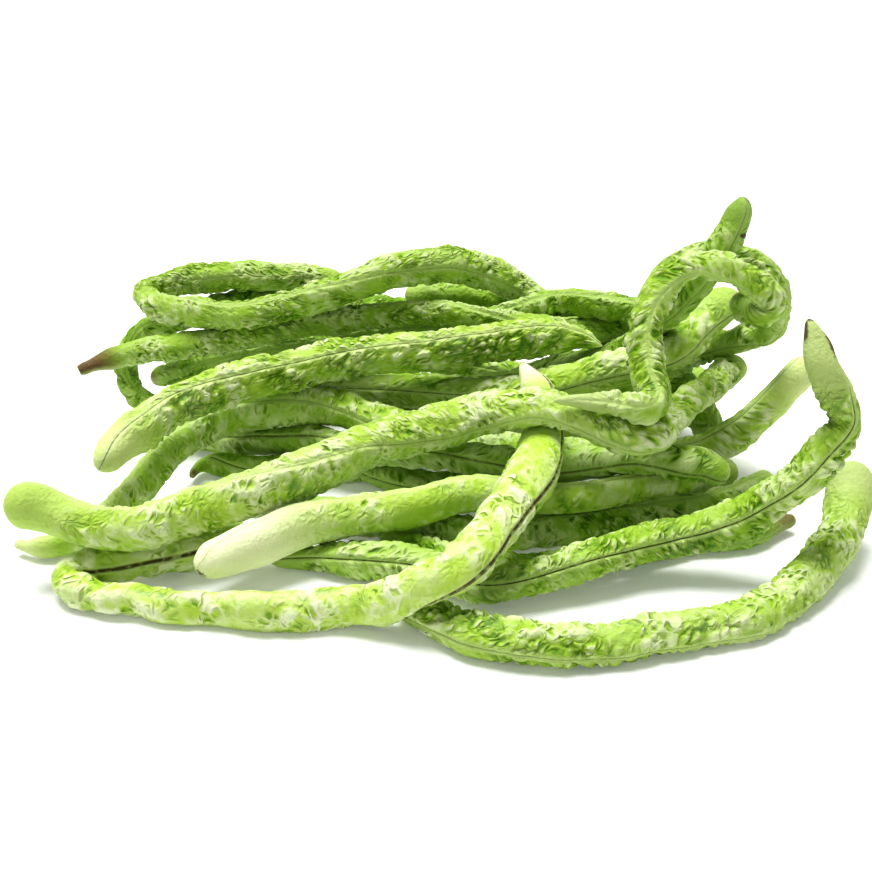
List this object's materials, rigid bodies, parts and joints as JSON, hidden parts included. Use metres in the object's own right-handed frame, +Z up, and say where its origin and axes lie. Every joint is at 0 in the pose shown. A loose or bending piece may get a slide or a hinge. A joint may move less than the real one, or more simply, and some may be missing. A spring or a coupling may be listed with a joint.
{
  "type": "yardlong bean bunch",
  "caption": "Loose bunch of puffy, wrinkled yardlong bean pods, bent and folded over each other in a low heap that lies on a table.",
  "frame": {"origin": "on the table under the middle of the heap's bounding box", "axes": "+X along the length of the heap, the way most of the pods lie; +Z up from the table; the front of the heap faces -Y"},
  "size_m": [0.299, 0.2266, 0.1145],
  "materials": {
    "bean_skin": "satin",
    "bean_skin_pale": "satin"
  },
  "bodies": {
    "root": {"pod_front_sweep": "bean_skin", "pod_front_bow": "bean_skin_pale", "pod_front_left": "bean_skin", "pod_right_seam": "bean_skin", "pod_right_stem": "bean_skin", "pod_pale_end": "bean_skin_pale", "pod_flat_seam": "bean_skin", "pod_middle": "bean_skin", "pod_arch": "bean_skin", "pod_low_stem": "bean_skin", "pod_upper_front": "bean_skin", "pod_brown_tip": "bean_skin", "pod_cut_end": "bean_skin", "pod_top_loop": "bean_skin", "pod_left_curl": "bean_skin", "pod_back_end": "bean_skin", "pod_right_diagonal": "bean_skin", "pod_knot_front": "bean_skin", "pod_knot_back": "bean_skin", "pod_top_tip": "bean_skin", "pod_pale_right": "bean_skin_pale", "pod_right_drop": "bean_skin", "pod_underneath": "bean_skin", "pod_behind": "bean_skin"}
  },
  "joints": []
}
